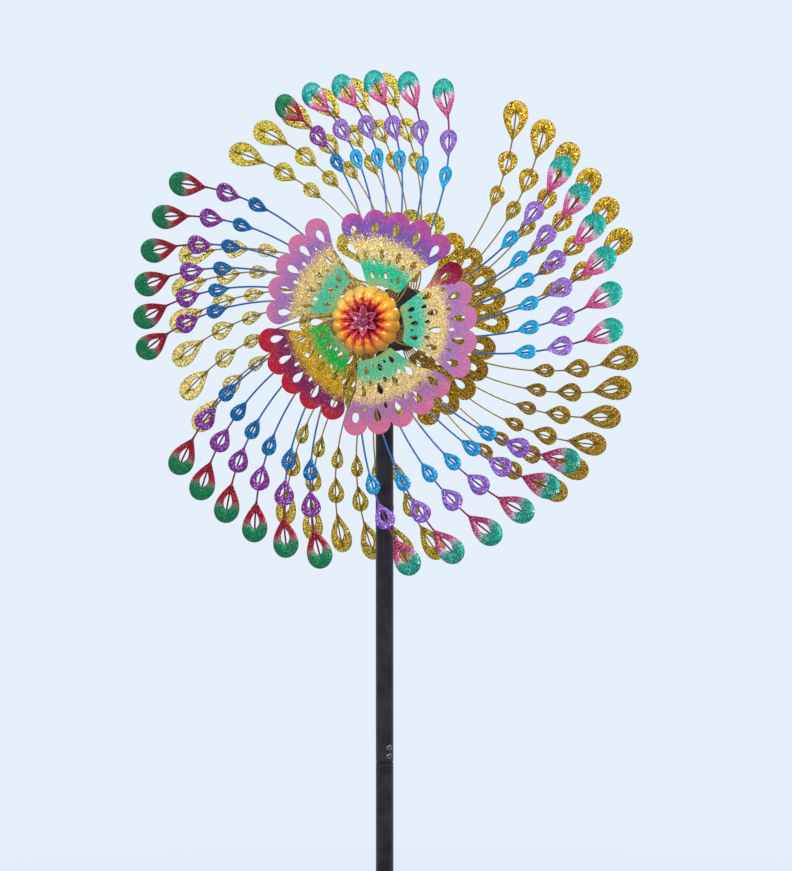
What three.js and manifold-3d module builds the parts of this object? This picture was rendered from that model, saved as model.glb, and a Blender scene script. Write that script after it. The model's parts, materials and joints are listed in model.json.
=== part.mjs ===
// Kinetic wind sculpture: two rotors of curved feather wires and pierced fan plates turn opposite ways
// on one fixed axle, at the top of a pole that comes apart into three tubes and a four-pronged ground stake.
// Millimetres, +Z up. The origin is on the ground, under the middle of the pole. The front rotor faces -Y.
import * as THREE from "three";
import { mergeVertices } from "three/addons/utils/BufferGeometryUtils.js";
import Module from "manifold-3d";

const wasm = await Module();
wasm.setup();

// ---- driving dimensions ----
const HUB_HEIGHT = 1370; // ground to the rotors' axis
const HUB_OFFSET = 75; // pole axis to the plane of a rotor's fan plates
const STAKE_DEPTH = 230; // how far the prongs go into the ground
const GAP = 0.3; // left between pieces that touch

const POLE_RADIUS = 11;
const POLE_WALL = 1.2;
const JOINT_HEIGHTS = [296, 822]; // where the pole comes apart
const JOINT_OVERLAP = 55; // length of the reduced end inside the next tube
const POLE_TOP = HUB_HEIGHT + 24;
const SCREW_RISES = [8, 18.5]; // clamp screws above each joint
const SCREW_TURN = 41; // degrees round the pole, from the front towards +X

const AXLE_RADIUS = 4;
const AXLE_END = HUB_OFFSET + 15.5;

const FRONT_PHASE = 2.7; // degrees, the first fan's middle, anticlockwise from +X seen from the front
const REAR_PHASE = 25.9;
const BLADE_PITCH = 4; // degrees that a blade leans about its own radius, to catch the wind

const FEATHERS = 6; // to a blade
const FEATHER_START = -11.4; // degrees, where a blade's middle feather leaves the hub
// The blades are bent by hand and differ. In degrees: `turn` of the whole blade, `start` of its wires at the
// hub, `step` between neighbours, and `bunch`, which closes the wires up towards one side. `bend` is the radius
// that its wires are bent to, and `lean` how steeply they go back towards the pole.
const FRONT_BLADES = [
  { turn: -0.3, start: 1.7, step: 8, bunch: -0.1, bend: 340, lean: 0.06 },
  { turn: -2, start: -0.4, step: 8.3, bunch: -0.2, bend: 260, lean: 0.2 },
  { turn: 1.2, start: 0.3, step: 8.4, bunch: -0.2, bend: 290, lean: 0.02 },
  { turn: 0.3, start: 0.2, step: 8.3, bunch: 0.1, bend: 298, lean: -0.12 },
  { turn: -0.2, start: 0.7, step: 9.1, bunch: -0.4, bend: 354, lean: -0.08 },
];
const REAR_BLADES = [
  { turn: -0.3, start: -0.4, step: 8.1, bunch: 0, bend: 340, lean: -0.07 },
  { turn: 0, start: 0, step: 8.2, bunch: 0, bend: 315, lean: 0.02 },
  { turn: -0.3, start: -1.6, step: 8.6, bunch: 0, bend: 303, lean: 0 },
  { turn: 0, start: 0, step: 8.2, bunch: 0, bend: 305, lean: 0 },
  { turn: 0.4, start: 0.3, step: 7.6, bunch: 0, bend: 305, lean: -0.05 },
];
const WIRE_WIDTH = 2.4;
const SPRAY_THICKNESS = 1.6;
const SPRAY_Z = -1.8; // middle of the wires, behind the fan plate
const ROOT_RADII = [13.6, 20]; // the band that a blade's wires are welded into
const LEAN_START = 140; // radius where the wires start to lean

// A drop runs from `from` to `to` along its wire, and is `width` across.
const DROPS = [
  { from: 184, to: 212.5, width: 17.7, stations: [0.35, 0.8] },
  { from: 223.5, to: 256, width: 24, stations: [0.35, 0.8] },
  { from: 269, to: 319.8, width: 30.6, stations: [0.25, 0.6, 0.88] },
];
const WIDEST = 0.67; // share of a drop's length, from its point, where it is widest

const FAN = {
  inner: 44, // radius of the inner edge
  innerHalf: 27, // degrees each side at the inner corners
  waist: 84, // radius where the sides meet the end lobes
  waistHalf: 28.6,
  lobeCentre: 120,
  lobeRadius: 15,
  lobeStep: 13.8, // degrees between lobes
  lobes: 5,
  turn: 4.3, // degrees that the plate is turned in its own plane
  thickness: 1,
  hole: { radius: 111, length: 17.5, width: 8.5 },
};

const deg = THREE.MathUtils.degToRad;
const paint = (color, metalness = 0.35, roughness = 0.42) =>
  new THREE.MeshStandardMaterial({ color, metalness, roughness });
const bronze = paint(0x2b2630, 0.5, 0.4);
const black = paint(0x0c0c10, 0.3, 0.45);
const steel = paint(0xb9bcc0, 0.9, 0.3);
const gold = paint(0xc79212, 0.6, 0.4);
const jewel = paint(0x2a7fc0, 0.4, 0.4);
const rose = paint(0xb8497e, 0.4, 0.4);
const magenta = paint(0xa3174a, 0.3, 0.4);
const plastic = paint(0x141418, 0, 0.6);

function named(name, geometry, material) {
  const mesh = new THREE.Mesh(geometry, material);
  mesh.name = name;
  return mesh;
}

// ---- solids ----
function bare(geometry) {
  const copy = geometry.clone().deleteAttribute("normal").deleteAttribute("uv");
  return mergeVertices(copy, 1e-4);
}

function toManifold(geometry) {
  const g = bare(geometry);
  return new wasm.Manifold(
    new wasm.Mesh({
      numProp: 3,
      vertProperties: new Float32Array(g.attributes.position.array),
      triVerts: new Uint32Array(g.index.array),
    }),
  );
}

function fromManifold(solid) {
  const mesh = solid.getMesh();
  const positions = new THREE.BufferAttribute(new Float32Array(mesh.vertProperties), 3);
  return new THREE.BufferGeometry()
    .setAttribute("position", positions)
    .setIndex(new THREE.BufferAttribute(new Uint32Array(mesh.triVerts), 1));
}

const cut = (body, ...tools) =>
  fromManifold(tools.reduce((rest, tool) => rest.subtract(toManifold(tool)), toManifold(body)));
const join = (...bodies) =>
  fromManifold(bodies.map(toManifold).reduce((sum, body) => sum.add(body)));

// A solid of revolution about Z from [radius, height] corners of a section, which closes on itself.
function turned(corners, segments = 16) {
  const points = [...corners, corners[0]].map(([r, z]) => new THREE.Vector2(r, z));
  const geometry = new THREE.LatheGeometry(points, segments).rotateX(Math.PI / 2);
  return outward(geometry);
}

// A section given clockwise comes out of the lathe inside out, so it is turned round here.
function outward(geometry) {
  const g = bare(geometry);
  const solid = toManifold(g);
  if (solid.volume() > 0) return g;
  const index = g.index.array;
  for (let i = 0; i < index.length; i += 3) [index[i], index[i + 1]] = [index[i + 1], index[i]];
  return g;
}

const ring = (inner, outer, low, high, segments) =>
  turned([[inner, low], [outer, low], [outer, high], [inner, high]], segments);

const rod = (radius, length, segments = 12) => new THREE.CylinderGeometry(radius, radius, length, segments);

// A bent sheet: a flat outline with holes, whose points each carry their own height z, given a thickness.
function bentSheet(outline, holes, thickness) {
  const loops = [outline, ...holes].map((loop, i) => {
    const clockwise = THREE.ShapeUtils.isClockWise(loop);
    return clockwise === (i > 0) ? loop : [...loop].reverse();
  });
  const faces = THREE.ShapeUtils.triangulateShape(loops[0], loops.slice(1));
  const points = loops.flat();
  const count = points.length;
  const positions = [0.5, -0.5].flatMap((side) =>
    points.flatMap((p) => [p.x, p.y, (p.z ?? 0) + side * thickness]),
  );
  const index = faces.flatMap(([a, b, c]) => [a, b, c, c + count, b + count, a + count]);
  let start = 0;
  for (const loop of loops) {
    for (let i = 0; i < loop.length; i++) {
      const a = start + i;
      const b = start + ((i + 1) % loop.length);
      index.push(a, a + count, b, b, a + count, b + count);
    }
    start += loop.length;
  }
  return outward(
    new THREE.BufferGeometry()
      .setAttribute("position", new THREE.Float32BufferAttribute(positions, 3))
      .setIndex(index),
  );
}

// ---- the feathers of a blade ----
// The point `along` a wire and `aside` to its left. The wire leaves the hub in direction `start`.
function onWire({ start, bend, lean }, along, aside) {
  const turn = along / bend;
  const x = (bend - aside) * Math.sin(turn);
  const y = bend - (bend - aside) * Math.cos(turn);
  const point = new THREE.Vector3(x, y, 0).applyAxisAngle(new THREE.Vector3(0, 0, 1), start);
  point.z = -lean * Math.max(0, Math.hypot(point.x, point.y) - LEAN_START);
  return point;
}

// Half of a drop's width at a share of its length from its point.
function dropHalf(drop, share) {
  const rising = Math.sin(((Math.PI / 2) * share) / WIDEST);
  const rounded = Math.sqrt(Math.max(0, 1 - ((share - WIDEST) / (1 - WIDEST)) ** 2));
  return (drop.width / 2) * (share < WIDEST ? rising : rounded);
}

// One side of a feather, from the root band out to the tip: side is 1 for left and -1 for right.
function featherSide(wire, side) {
  const points = [];
  const add = (along, aside) => points.push(onWire(wire, along, side * aside));
  const [small] = DROPS;
  for (const along of [ROOT_RADII[1], LEAN_START / 2, LEAN_START, small.from - 2]) {
    add(along, WIRE_WIDTH / 2);
  }
  DROPS.forEach((drop, i) => {
    for (const share of drop.stations) {
      add(THREE.MathUtils.lerp(drop.from, drop.to, share), dropHalf(drop, share));
    }
    const next = DROPS[i + 1];
    if (next) add((drop.to + next.from) / 2, WIRE_WIDTH / 2);
  });
  return points;
}

function dropHole(wire, drop) {
  const shares = [[0.25, 0], [0.5, 0.16], [0.69, 0], [0.5, -0.16]];
  return shares.map(([share, aside]) =>
    onWire(wire, THREE.MathUtils.lerp(drop.from, drop.to, share), aside * drop.width),
  );
}

// Six wires with their drops, and the root band that they are welded into.
function spray({ start, step, bunch, bend, lean }) {
  const last = (FEATHERS - 1) / 2;
  const wires = Array.from({ length: FEATHERS }, (_, i) => {
    const place = i - last;
    const aside = place * step + bunch * (place ** 2 - last ** 2 / 2);
    return { start: deg(FEATHER_START + start + aside), bend, lean };
  });
  const large = DROPS.at(-1);
  const outline = wires.flatMap((wire) => [
    ...featherSide(wire, -1),
    onWire(wire, large.to, 0),
    ...featherSide(wire, 1).reverse(),
  ]);
  const inner = [...wires].reverse().map((wire) => onWire(wire, ROOT_RADII[0], 0));
  const holes = wires.map((wire) => dropHole(wire, large));
  return bentSheet([...outline, ...inner], holes, SPRAY_THICKNESS).translate(0, 0, SPRAY_Z);
}

// ---- the fan plate of a blade ----
const polar = (radius, degrees) =>
  new THREE.Vector2(radius * Math.cos(deg(degrees)), radius * Math.sin(deg(degrees)));

// A point on a lobe's round end, at an angle from the lobe's own middle line.
const onLobe = (middle, angle) =>
  polar(FAN.lobeCentre, middle).add(polar(FAN.lobeRadius, middle + angle));

// The angle, from a lobe's middle line, of the notch where it meets its neighbour.
function notchAngle() {
  const half = deg(FAN.lobeStep / 2);
  const reach = FAN.lobeCentre * Math.sin(half);
  const rise = Math.sqrt(FAN.lobeRadius ** 2 - reach ** 2);
  return FAN.lobeStep / 2 + THREE.MathUtils.radToDeg(Math.atan2(reach, rise));
}

// The angle where the straight side touches an end lobe.
function sideAngle(middle) {
  const waist = polar(FAN.waist, FAN.waistHalf - middle).sub(new THREE.Vector2(FAN.lobeCentre, 0));
  const back = THREE.MathUtils.radToDeg(Math.atan2(waist.y, waist.x));
  return back - THREE.MathUtils.radToDeg(Math.acos(FAN.lobeRadius / waist.length()));
}

function fanOutline() {
  const last = (FAN.lobes - 1) / 2;
  const notch = notchAngle();
  const side = sideAngle(last * FAN.lobeStep);
  const points = [polar(FAN.inner, -FAN.innerHalf), polar(FAN.waist, -FAN.waistHalf)];
  for (let lobe = -last; lobe <= last; lobe++) {
    const from = lobe === -last ? -side : -notch;
    const to = lobe === last ? side : notch;
    const steps = Math.abs(lobe) === last ? 5 : 4;
    const first = lobe === -last ? 0 : 1;
    for (let i = first; i <= steps; i++) {
      points.push(onLobe(lobe * FAN.lobeStep, THREE.MathUtils.lerp(from, to, i / steps)));
    }
  }
  points.push(polar(FAN.waist, FAN.waistHalf), polar(FAN.inner, FAN.innerHalf));
  points.push(polar(FAN.inner, 9), polar(FAN.inner, -9));
  return points;
}

function fanHole(middle) {
  const { radius, length, width } = FAN.hole;
  const shape = [[-0.5, 0], [0.1, -0.45], [0.45, -0.3], [0.45, 0.3], [0.1, 0.45]];
  return shape.map(([out, aside]) =>
    new THREE.Vector2(radius + out * length, aside * width).rotateAround(new THREE.Vector2(), deg(middle)),
  );
}

function fanPlate() {
  const last = (FAN.lobes - 1) / 2;
  const holes = Array.from({ length: FAN.lobes }, (_, i) => fanHole((i - last) * FAN.lobeStep));
  const pivot = FAN.lobeCentre + FAN.lobeRadius;
  return bentSheet(fanOutline(), holes, FAN.thickness)
    .translate(-pivot, 0, 0)
    .rotateZ(deg(FAN.turn))
    .translate(pivot, 0, 0);
}

// ---- hub, bearings and flower cap, in a rotor's own frame: its axis is Z, and +Z is away from the pole ----
const BARREL = { radius: 13, bore: 11.3, shoulder: 9.6, back: -22, front: 6 };
const BEARING = { width: 7, bore: AXLE_RADIUS + GAP, inner: 6.2, shield: 6.6, race: 9.2, outer: 11, lip: 0.6 };
const BEARING_BACKS = [BARREL.back + 0.2, BARREL.front - BEARING.width - 0.2];

function barrel() {
  const { radius, bore, shoulder, back, front } = BARREL;
  const depth = BEARING.width + 0.5;
  return turned([
    [bore, back], [radius, back], [radius, front], [bore, front],
    [bore, front - depth], [shoulder, front - depth], [shoulder, back + depth], [bore, back + depth],
  ], 20);
}

const innerRace = (back) => ring(BEARING.bore, BEARING.inner, back, back + BEARING.width, 14);

function outerRace(back) {
  const { width, shield, race, outer, lip } = BEARING;
  const front = back + width;
  return turned([
    [shield, back], [outer, back], [outer, front], [shield, front],
    [shield, front - lip], [race, front - lip], [race, back + lip], [shield, back + lip],
  ], 14);
}

// The cap is a dished flower: it rises from its rim to a crest and sinks again to the middle.
const DOME = {
  flutes: 16,
  depth: 0.055, // of the radius
  outside: [[42, 6], [41.5, 12], [37, 19], [28, 23.5], [20, 22.5], [11, 19], [2.6, 18.2]],
  inside: [
    [2.6, 16.8], [13.4, 17.2], [13.4, 0.8], [15, 0.8], [15, 18.3], [20, 21],
    [28, 22], [36, 17.7], [40, 11.5], [40.6, 6],
  ],
};

// A fluted dome with a collar inside that grips the front of the hub barrel.
function flowerDome() {
  const geometry = turned([...DOME.outside, ...DOME.inside], DOME.flutes * 2);
  const position = geometry.attributes.position;
  for (let i = 0; i < position.count; i++) {
    const x = position.getX(i);
    const y = position.getY(i);
    const share = Math.max(0, (Math.hypot(x, y) - 16) / 26);
    const wave = 1 + DOME.depth * share * Math.cos(DOME.flutes * Math.atan2(y, x));
    position.setXY(i, x * wave, y * wave);
  }
  return geometry;
}

// A small star of petals that stands in the middle of the dished flower.
function starFlower() {
  const petals = 6;
  const place = (radius, height, degrees) => {
    const { x, y } = polar(radius, degrees);
    return new THREE.Vector3(x, y, height);
  };
  const outline = Array.from({ length: petals * 2 }, (_, i) =>
    i % 2 ? place(7, 19.4, i * 30) : place(16, 21.9, i * 30),
  );
  const hole = Array.from({ length: 8 }, (_, i) => place(2.6, 19.2, i * 45));
  return bentSheet(outline, [hole], 0.8);
}

// A rivet whose round head closes the middle of the flower.
const starRivet = () =>
  turned([[0, 16], [2.2, 16], [2.2, 20.9], [5.2, 20.9], [4.4, 23.6], [2.2, 25], [0, 25.4]], 12);

function lockNut(back) {
  const hexagon = new THREE.Shape(Array.from({ length: 6 }, (_, i) => polar(7.5, i * 60)));
  hexagon.holes.push(new THREE.Path().absarc(0, 0, AXLE_RADIUS + GAP, 0, Math.PI * 2));
  const settings = { depth: 6.5, bevelEnabled: false, curveSegments: 6 };
  return new THREE.ExtrudeGeometry(hexagon, settings).translate(0, 0, back);
}

// One rotor, with its share of the fixed parts on the axle. The rear one is the front one's mirror image.
function rotor(side, phase, blades, fanMaterial, sprayMaterial) {
  const group = new THREE.Group();
  blades.forEach((shape, i) => {
    const blade = new THREE.Group();
    blade.rotation.set(-deg(BLADE_PITCH), 0, 0);
    blade.add(named(`${side}_fan_${i + 1}`, fanPlate(), fanMaterial));
    blade.add(named(`${side}_feathers_${i + 1}`, spray(shape), sprayMaterial));
    const arm = new THREE.Group();
    arm.rotation.z = deg(phase + shape.turn + (i * 360) / blades.length);
    arm.add(blade);
    group.add(arm);
  });
  group.add(named(`${side}_hub_barrel`, barrel(), gold));
  group.add(named(`${side}_hub_disc`, ring(BARREL.radius + GAP, 40, -5.3, -3.9, 24), black));
  BEARING_BACKS.forEach((back, i) => {
    const place = i ? "outer" : "inner";
    group.add(named(`${side}_${place}_bearing_race`, outerRace(back), steel));
    group.add(named(`${side}_${place}_bearing_core`, innerRace(back), steel));
  });
  group.add(named(`${side}_flower_dome`, flowerDome(), gold));
  group.add(named(`${side}_flower_star`, starFlower(), magenta));
  group.add(named(`${side}_flower_rivet`, starRivet(), magenta));
  const sleeveEnd = BARREL.back - 1.3;
  const sleeveStart = POLE_RADIUS + 0.6 - HUB_OFFSET;
  group.add(named(`${side}_axle_sleeve`, ring(AXLE_RADIUS + GAP, 7, sleeveStart, sleeveEnd, 14), black));
  const innerWasher = ring(AXLE_RADIUS + GAP, 6.2, BARREL.back - 1, BARREL.back - 0.1, 14);
  group.add(named(`${side}_inner_washer`, innerWasher, steel));
  const outerWasher = ring(AXLE_RADIUS + GAP, 8.5, BARREL.front + 0.1, BARREL.front + 1.3, 14);
  group.add(named(`${side}_outer_washer`, outerWasher, steel));
  group.add(named(`${side}_lock_nut`, lockNut(BARREL.front + 1.6), steel));
  return group;
}

// ---- pole and stake ----
function screwPlace(height) {
  const direction = new THREE.Vector3(Math.sin(deg(SCREW_TURN)), -Math.cos(deg(SCREW_TURN)), 0);
  const turn = new THREE.Quaternion().setFromUnitVectors(new THREE.Vector3(0, 0, 1), direction);
  return new THREE.Matrix4().compose(new THREE.Vector3(0, 0, height), turn, new THREE.Vector3(1, 1, 1));
}

const screwHole = (height) => rod(2.9, POLE_RADIUS * 1.4).rotateX(Math.PI / 2)
  .translate(0, 0, POLE_RADIUS).applyMatrix4(screwPlace(height));

const clampScrew = (height) =>
  turned([[0, 9.8], [2.5, 9.8], [2.5, 11.4], [4.2, 11.4], [4.2, 12.6], [3, 14.2], [0, 14.6]], 10)
    .applyMatrix4(screwPlace(height));

// A pole tube from one joint to the next, with a reduced end on top that enters the tube above.
function poleTube(low, high) {
  const bore = POLE_RADIUS - POLE_WALL;
  const plug = bore - 0.4;
  return turned([
    [bore, low], [POLE_RADIUS, low], [POLE_RADIUS, high - 1.5], [plug, high], [plug, high + JOINT_OVERLAP],
    [plug - POLE_WALL, high + JOINT_OVERLAP], [plug - POLE_WALL, high - 1], [bore, high - 3],
  ]);
}

const screwHoles = (joint) => SCREW_RISES.map((rise) => screwHole(joint + rise));

// One prong: it runs down the pole tube, out over the ground and down into it, to a point.
function prong() {
  const rodRadius = 4;
  const inner = POLE_RADIUS + rodRadius + GAP + 0.3;
  const outer = 70;
  const path = new THREE.CatmullRomCurve3([
    new THREE.Vector3(inner, 0, 95), new THREE.Vector3(inner, 0, 60), new THREE.Vector3(inner + 2, 0, 36),
    new THREE.Vector3(inner + 14, 0, 20), new THREE.Vector3(outer - 14, 0, 12),
    new THREE.Vector3(outer - 2, 0, 0), new THREE.Vector3(outer, 0, -24),
    new THREE.Vector3(outer, 0, 30 - STAKE_DEPTH),
  ], false, "centripetal");
  const section = new THREE.Shape(Array.from({ length: 6 }, (_, i) => polar(rodRadius, i * 60 + 30)));
  const shaft = new THREE.ExtrudeGeometry(section, { extrudePath: path, steps: 10, bevelEnabled: false });
  const point = new THREE.CylinderGeometry(rodRadius * 0.97, 0.6, 32, 6).rotateX(Math.PI / 2)
    .translate(outer, 0, 16 - STAKE_DEPTH);
  return join(shaft, point);
}

const sculpture = new THREE.Group();

const [lowJoint, highJoint] = JOINT_HEIGHTS;
const PLATE_THICKNESS = 3;
sculpture.add(named("ground_plate", ring(0, 32, 0, PLATE_THICKNESS, 20), bronze));
sculpture.add(named("lower_pole_tube", poleTube(PLATE_THICKNESS + GAP, lowJoint), bronze));
const middleTube = cut(poleTube(lowJoint + GAP, highJoint), ...screwHoles(lowJoint));
sculpture.add(named("middle_pole_tube", middleTube, bronze));
const upperTube = ring(POLE_RADIUS - POLE_WALL, POLE_RADIUS, highJoint + GAP, POLE_TOP, 16);
const axleHole = rod(AXLE_RADIUS + GAP, POLE_RADIUS * 3).translate(0, 0, HUB_HEIGHT);
sculpture.add(named("upper_pole_tube", cut(upperTube, axleHole, ...screwHoles(highJoint)), bronze));
JOINT_HEIGHTS.forEach((joint, i) =>
  SCREW_RISES.forEach((rise, j) =>
    sculpture.add(named(`${i ? "upper" : "lower"}_joint_screw_${j + 1}`, clampScrew(joint + rise), steel)),
  ),
);
const PRONGS = 4;
for (let i = 0; i < PRONGS; i++) {
  const mesh = named(`ground_prong_${i + 1}`, prong(), bronze);
  mesh.rotation.z = deg(45 + (i * 360) / PRONGS);
  sculpture.add(mesh);
}
const plug = POLE_RADIUS - POLE_WALL - GAP;
sculpture.add(named("pole_top_cap", turned([
  [0, POLE_TOP - 12], [plug, POLE_TOP - 12], [plug, POLE_TOP + GAP], [POLE_RADIUS, POLE_TOP + GAP],
  [POLE_RADIUS, POLE_TOP + 2], [8, POLE_TOP + 5], [0, POLE_TOP + 6],
]), plastic));
sculpture.add(named("axle", rod(AXLE_RADIUS, AXLE_END * 2).translate(0, 0, HUB_HEIGHT), steel));

const front = rotor("front", FRONT_PHASE, FRONT_BLADES, rose, jewel);
front.rotation.x = Math.PI / 2;
front.position.set(0, -HUB_OFFSET, HUB_HEIGHT);
const rear = rotor("rear", REAR_PHASE, REAR_BLADES, gold, gold);
rear.rotation.x = Math.PI / 2;
rear.scale.z = -1;
rear.position.set(0, HUB_OFFSET, HUB_HEIGHT);
sculpture.add(front, rear);

export default sculpture;
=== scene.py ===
import json
import math

import bmesh
import bpy
from mathutils import Matrix, Vector, geometry


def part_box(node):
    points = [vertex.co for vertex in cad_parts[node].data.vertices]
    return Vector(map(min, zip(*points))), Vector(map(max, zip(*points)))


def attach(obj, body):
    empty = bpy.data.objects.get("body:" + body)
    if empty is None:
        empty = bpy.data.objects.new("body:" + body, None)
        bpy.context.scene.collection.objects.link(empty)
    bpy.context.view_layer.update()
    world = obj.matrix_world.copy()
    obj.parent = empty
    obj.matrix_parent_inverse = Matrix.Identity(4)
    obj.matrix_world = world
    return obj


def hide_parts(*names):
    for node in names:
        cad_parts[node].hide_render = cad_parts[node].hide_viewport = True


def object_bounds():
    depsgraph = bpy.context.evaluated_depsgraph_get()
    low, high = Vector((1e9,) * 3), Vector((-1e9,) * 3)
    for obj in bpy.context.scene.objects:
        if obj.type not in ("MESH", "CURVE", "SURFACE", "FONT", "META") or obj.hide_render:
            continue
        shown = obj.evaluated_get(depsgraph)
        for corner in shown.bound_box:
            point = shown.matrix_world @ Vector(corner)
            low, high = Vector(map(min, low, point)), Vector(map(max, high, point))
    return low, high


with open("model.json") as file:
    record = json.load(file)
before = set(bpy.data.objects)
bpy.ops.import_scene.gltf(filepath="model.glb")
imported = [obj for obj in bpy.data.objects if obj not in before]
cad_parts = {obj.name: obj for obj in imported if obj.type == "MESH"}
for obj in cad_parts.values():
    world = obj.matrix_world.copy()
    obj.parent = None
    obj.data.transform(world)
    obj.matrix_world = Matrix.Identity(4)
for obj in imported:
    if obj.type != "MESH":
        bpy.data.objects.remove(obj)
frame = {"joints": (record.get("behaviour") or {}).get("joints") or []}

CAD_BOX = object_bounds()
MM = 0.001

# ---- sizes in millimetres, most of them shared with the CAD model ----
HUB = {joint["child"].split("_")[0]: Vector(joint["pos_m"]) for joint in frame["joints"]}
BLADES = 5
PHASE = {"front": 2.7, "rear": 25.9}  # degrees, the middle of the first fan plate
BLADE_PITCH = 4  # degrees
FEATHERS = 6
FEATHER_START = -11.4  # degrees, the middle of a blade's wires at the hub
# The blades are bent by hand and differ: the turn of the whole blade, the start of its wires at the hub,
# the step between neighbours, how much they bunch towards one side, the radius they are bent to, and how
# they lean back.
BENT = {
    "front": [
        (-0.3, 1.7, 8, -0.1, 340, 0.06), (-2, -0.4, 8.3, -0.2, 260, 0.2), (1.2, 0.3, 8.4, -0.2, 290, 0.02),
        (0.3, 0.2, 8.3, 0.1, 298, -0.12), (-0.2, 0.7, 9.1, -0.4, 354, -0.08),
    ],
    "rear": [
        (-0.3, -0.4, 8.1, 0, 340, -0.07), (0, 0, 8.2, 0, 315, 0.02), (-0.3, -1.6, 8.6, 0, 303, 0),
        (0, 0, 8.2, 0, 305, 0), (0.4, 0.3, 7.6, 0, 305, -0.05),
    ],
}
WIRE_RADIUS = {"front": 1.15, "rear": 0.95}
WIRE_START, WIRE_END = 21, 313
WIRE_Z = -1.8
LEAN_START = 142
LEAN_SOFTNESS = 8  # the length over which a wire takes up its lean
# Near the hub a blade's wires run close together, clockwise of where they spread to behind the fan plate.
# The CAD model's wires don't.
GATHER_TURN, GATHER_STEP = 12, 4.2  # degrees for the first wire, and how much more for each one after it
GATHER_FROM, GATHER_TO = 38, 90
WIDEST = 0.67  # share of a drop's length, from its point, where it is widest
DROPS = {
    "small": {"from": 184, "to": 212.5, "width": 17.7, "hole": (0.33, 0.75), "hole_width": 5.3},
    "medium": {"from": 223.5, "to": 256.5, "width": 24.2, "hole": (0.26, 0.76), "hole_width": 8.6},
    "large": {"from": 269, "to": 319.6, "width": 31, "hole": (0.25, 0.69), "hole_width": 10.2},
}
DROP_TWIST = 13  # degrees that a drop is turned about its wire
SHEET = 1.0  # thickness of the drops and fan plates
BEVEL = 0.28

FAN_INNER, FAN_INNER_HALF = 44, 27
FAN_WAIST, FAN_WAIST_HALF = 84, 28.6
LOBES, LOBE_STEP, LOBE_CENTRE, LOBE_RADIUS = 5, 13.8, 120, 15
FAN_TURN = 4.3
CUP_START, CUP_WIDTH, CUP = 96, 35, 0.7  # where the lobes are pressed, and how deeply
BOW = 0.0011 / 3  # how much the plate bends back towards its sides
# Each row of holes in a fan plate: radius, length, width, how many, degrees between them. The CAD model has
# only the first row.
FAN_HOLES = [
    (111, 17.5, 8.4, 5, 13.8), (102, 8.5, 3.6, 4, 13.8), (81, 14.5, 7.2, 4, 14.6), (73, 7.5, 4.6, 3, 14.6),
    (57, 10, 5.6, 3, 17), (53.5, 5, 2.8, 2, 17),
]

POLE_RADIUS, POLE_WALL = 11, 1.2
POLE_OVERLAP = 55  # the length of a tube's reduced end
PLATE_RADIUS, PLATE_THICK = 32, 3
AXLE_RADIUS, AXLE_BORE = 4, 4.3


# ---- mesh tools ----
def finish_mesh(name, bm, materials):
    """Turns a bmesh in metres into an object with those materials."""
    bmesh.ops.recalc_face_normals(bm, faces=bm.faces)
    mesh = bpy.data.meshes.new(name)
    bm.to_mesh(mesh)
    bm.free()
    for material in materials:
        mesh.materials.append(material)
    mesh.shade_smooth()
    piece = bpy.data.objects.new(name, mesh)
    bpy.context.scene.collection.objects.link(piece)
    return piece


def soften(piece, width, material=-1):
    """Rounds a piece's sharp edges by `width` millimetres."""
    bevel = piece.modifiers.new("Rounded edges", "BEVEL")
    bevel.width = width * MM
    bevel.segments = 2
    bevel.limit_method = "ANGLE"
    bevel.angle_limit = math.radians(35)
    bevel.harden_normals = True
    bevel.material = material
    return piece


def mount(piece, body, slot, node):
    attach(piece, body)
    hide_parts(node)


def vertex(bm, place, *point):
    return bm.verts.new(place @ Vector(point))


def turns(count):
    """The angles, in radians, of `count` points round a circle."""
    return [2 * math.pi * i / count for i in range(count)]


def bridge(bm, loops, closed=True, wrap=False, material=0):
    """Fills quads between loops. `closed` joins each loop's ends, `wrap` the last loop to the first."""
    for first, second in zip(loops, loops[1:] + (loops[:1] if wrap else [])):
        count = len(first)
        for i in range(count if closed else count - 1):
            j = (i + 1) % count
            bm.faces.new((first[i], first[j], second[j], second[i])).material_index = material


def cap(bm, loops):
    bm.faces.new(loops[0])
    bm.faces.new(loops[-1])


def turned(name, profile, place, material, mounting, width=0.3, segments=64):
    """A solid of revolution about Z from (radius, height) corners, with its edges rounded by `width`.
    `mounting` is its body, its slot, which is not used, and the CAD node that it replaces."""
    bm = bmesh.new()
    loops = []
    for radius, height in profile:
        loop = []
        for angle in turns(segments if radius else 1):
            loop.append(vertex(bm, place, radius * math.cos(angle), radius * math.sin(angle), height))
        loops.append(loop)
    for first, second in zip(loops, loops[1:] + (loops[:1] if profile[0][0] else [])):
        for i in range(segments):
            j = (i + 1) % segments
            corners = [first[i % len(first)], first[j % len(first)]]
            corners += [second[j % len(second)], second[i % len(second)]]
            corners = list(dict.fromkeys(corners))
            if len(corners) > 2:
                bm.faces.new(corners)
    mount(soften(finish_mesh(name, bm, [material]), width), *mounting)


def ring(inner, outer, low, high):
    return [(inner, low), (outer, low), (outer, high), (inner, high)]


def spline(points, steps):
    """Points of a smooth curve through `points`, `steps` to a stretch."""
    out = []
    last = len(points) - 1
    for i in range(last):
        before, start, end, after = (Vector(points[max(0, min(last, i + k))]) for k in (-1, 0, 1, 2))
        for step in range(steps):
            t = step / steps
            out.append(
                0.5 * (2 * start + (end - before) * t + (2 * before - 5 * start + 4 * end - after) * t * t
                       + (3 * start - before - 3 * end + after) * t * t * t)
            )
    return out + [Vector(points[-1])]


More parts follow.
